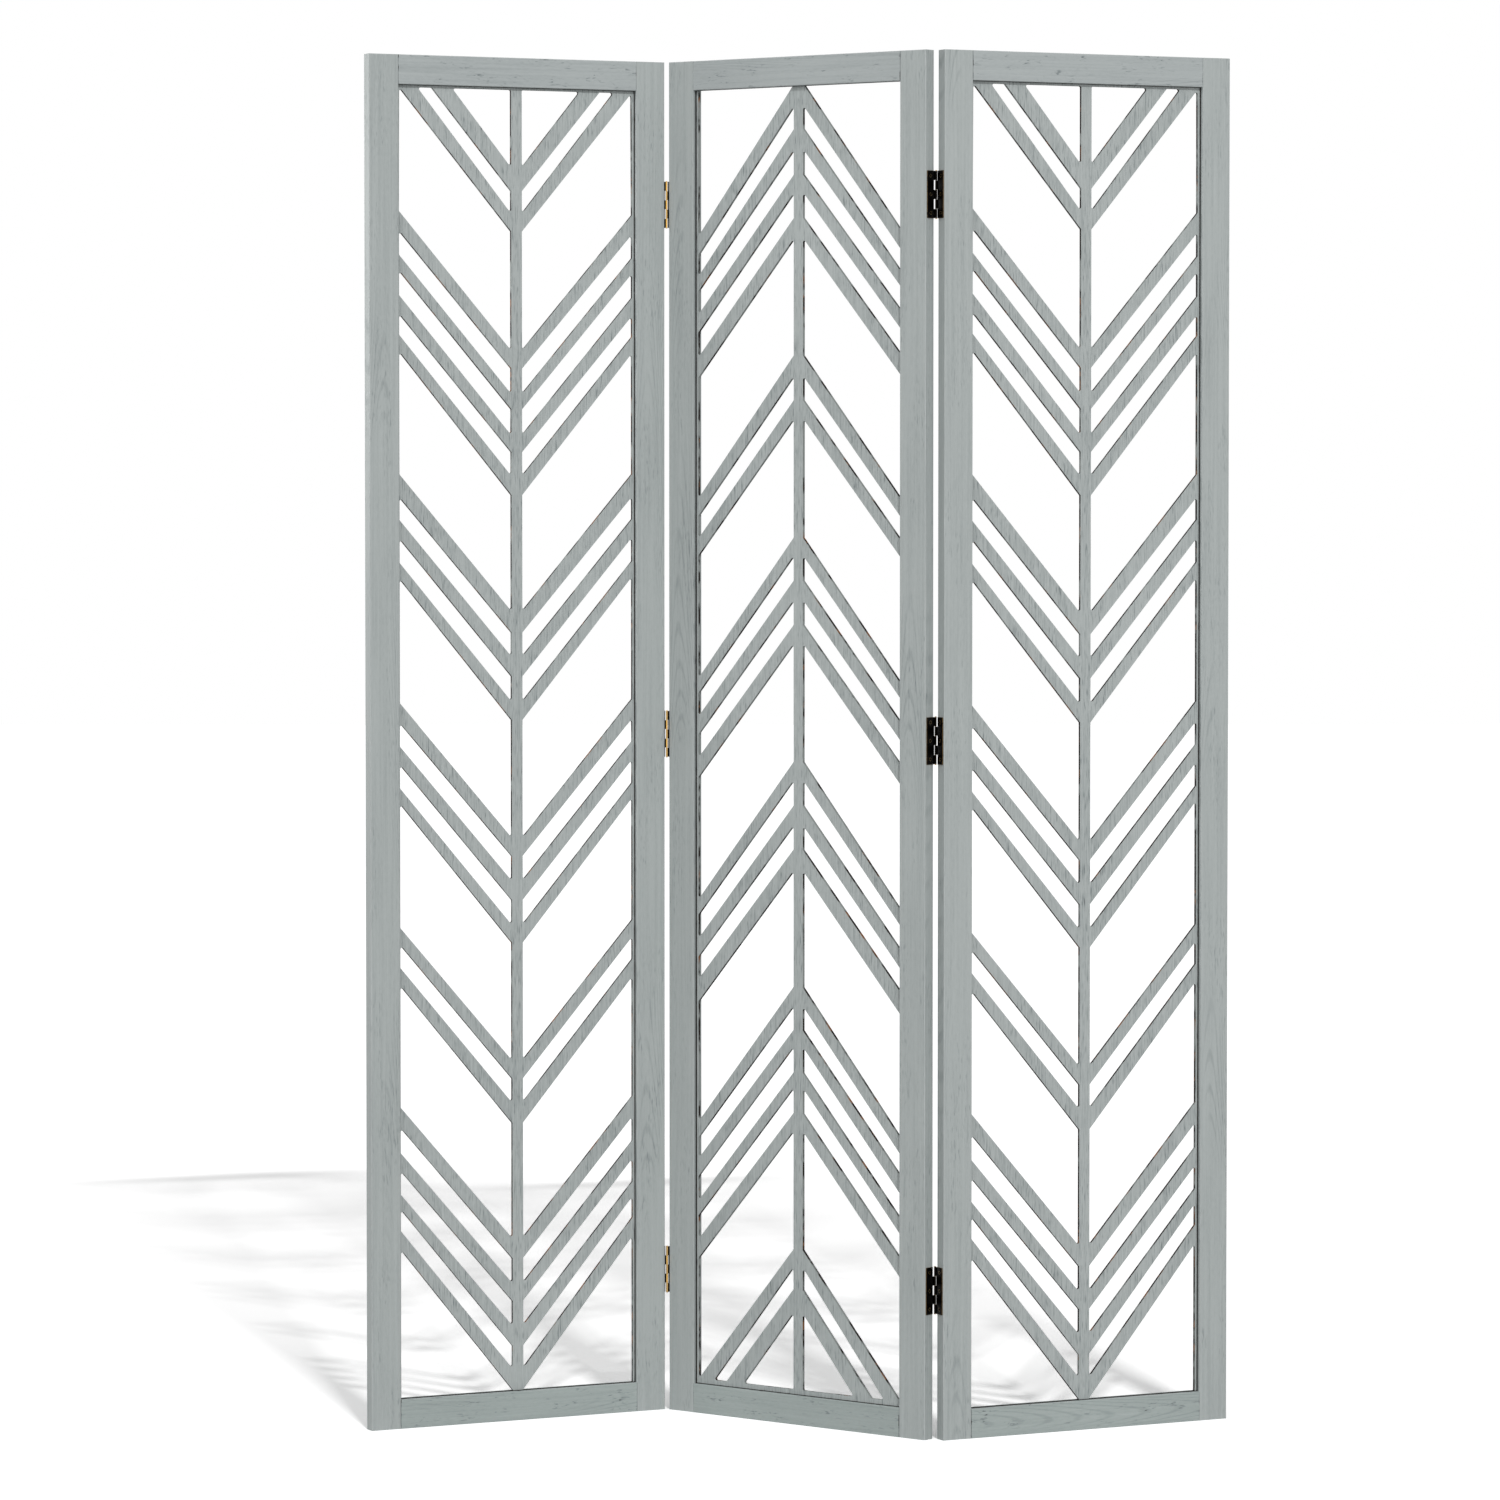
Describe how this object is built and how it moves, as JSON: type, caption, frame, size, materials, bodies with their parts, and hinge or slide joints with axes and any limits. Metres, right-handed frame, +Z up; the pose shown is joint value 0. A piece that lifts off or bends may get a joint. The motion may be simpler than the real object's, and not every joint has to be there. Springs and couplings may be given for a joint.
{
  "type": "folding screen",
  "caption": "Free-standing folding room screen: painted wooden frames with chevron lattice sheets, joined edge to edge by butt hinges so that it stands in a zigzag and folds flat.",
  "frame": {"origin": "on the floor, under the middle of the screen's outline as it stands at rest", "axes": "+Z up, front faces towards -Y, +X to the right of someone who faces the front"},
  "size_m": [1.0718, 0.264, 1.7],
  "materials": {
    "painted_frame": "matt paint over open-grained softwood",
    "painted_lattice": "matt paint over routed board",
    "dowel_wood": "bare beech",
    "hinge_steel": "dark bronzed plating",
    "hinge_pin": "worn brass plating",
    "screw_steel": "dark bronzed plating, worn at the recess"
  },
  "bodies": {
    "left_panel": {"left_panel_left_stile": "painted_frame", "left_panel_right_stile": "painted_frame", "left_panel_head_rail": "painted_frame", "left_panel_foot_rail": "painted_frame", "left_panel_lattice": "painted_lattice", "left_panel_dowels": "dowel_wood", "left_lower_hinge_outer_leaf": "hinge_steel", "left_lower_hinge_outer_screws": "screw_steel", "left_middle_hinge_outer_leaf": "hinge_steel", "left_middle_hinge_outer_screws": "screw_steel", "left_upper_hinge_outer_leaf": "hinge_steel", "left_upper_hinge_outer_screws": "screw_steel"},
    "middle_panel": {"middle_panel_left_stile": "painted_frame", "middle_panel_right_stile": "painted_frame", "middle_panel_head_rail": "painted_frame", "middle_panel_foot_rail": "painted_frame", "middle_panel_lattice": "painted_lattice", "middle_panel_dowels": "dowel_wood", "left_lower_hinge_inner_leaf": "hinge_steel", "left_lower_hinge_inner_screws": "screw_steel", "left_lower_hinge_pin": "hinge_pin", "left_middle_hinge_inner_leaf": "hinge_steel", "left_middle_hinge_inner_screws": "screw_steel", "left_middle_hinge_pin": "hinge_pin", "left_upper_hinge_inner_leaf": "hinge_steel", "left_upper_hinge_inner_screws": "screw_steel", "left_upper_hinge_pin": "hinge_pin", "right_lower_hinge_inner_leaf": "hinge_steel", "right_lower_hinge_inner_screws": "screw_steel", "right_lower_hinge_pin": "hinge_pin", "right_middle_hinge_inner_leaf": "hinge_steel", "right_middle_hinge_inner_screws": "screw_steel", "right_middle_hinge_pin": "hinge_pin", "right_upper_hinge_inner_leaf": "hinge_steel", "right_upper_hinge_inner_screws": "screw_steel", "right_upper_hinge_pin": "hinge_pin"},
    "right_panel": {"right_panel_left_stile": "painted_frame", "right_panel_right_stile": "painted_frame", "right_panel_head_rail": "painted_frame", "right_panel_foot_rail": "painted_frame", "right_panel_lattice": "painted_lattice", "right_panel_dowels": "dowel_wood", "right_lower_hinge_outer_leaf": "hinge_steel", "right_lower_hinge_outer_screws": "screw_steel", "right_middle_hinge_outer_leaf": "hinge_steel", "right_middle_hinge_outer_screws": "screw_steel", "right_upper_hinge_outer_leaf": "hinge_steel", "right_upper_hinge_outer_screws": "screw_steel"}
  },
  "joints": [
    {"name": "left_fold", "type": "hinge", "parent": "middle_panel", "child": "left_panel", "pos_m": [-0.16564, 0.11545, 0], "axis": [0, 0, 1], "range_deg": [-63.6, 116.4]},
    {"name": "right_fold", "type": "hinge", "parent": "middle_panel", "child": "right_panel", "pos_m": [0.16564, -0.11545, 0], "axis": [0, 0, 1], "range_deg": [-63.6, 116.4]}
  ]
}
